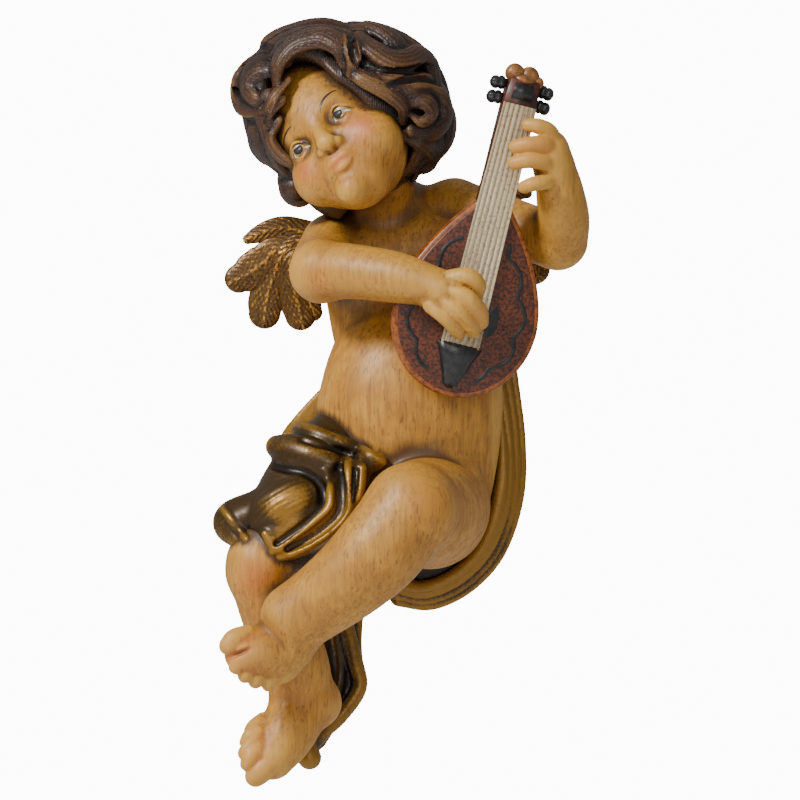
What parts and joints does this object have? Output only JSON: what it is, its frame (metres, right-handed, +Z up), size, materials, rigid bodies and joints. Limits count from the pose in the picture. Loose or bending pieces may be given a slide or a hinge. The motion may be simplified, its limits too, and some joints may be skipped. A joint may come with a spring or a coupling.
{
  "type": "hanging cherub figure",
  "caption": "Carved and painted wooden cherub in flight, playing a mandolin, with gilded wings and drapery, to hang on a wall.",
  "frame": {"origin": "middle of the flat pad on the upper back, where the figure rests on the wall", "axes": "+Z up, +Y into the wall, +X to the viewer's right"},
  "size_m": [0.0935, 0.062, 0.1928],
  "materials": {
    "painted_figure": "flesh paint glazed brown over visible grain, dark brown hair, antique gold drapery, satin varnish",
    "painted_mandolin": "sponged red-brown soundboard, orange rim, cream strings, black line and tailpiece",
    "gilded_wings": "bronze gold, rubbed dark in the cuts"
  },
  "bodies": {
    "root": {"putto_figure": "painted_figure", "mandolin": "painted_mandolin", "right_wing": "gilded_wings", "left_wing": "gilded_wings"}
  },
  "joints": []
}
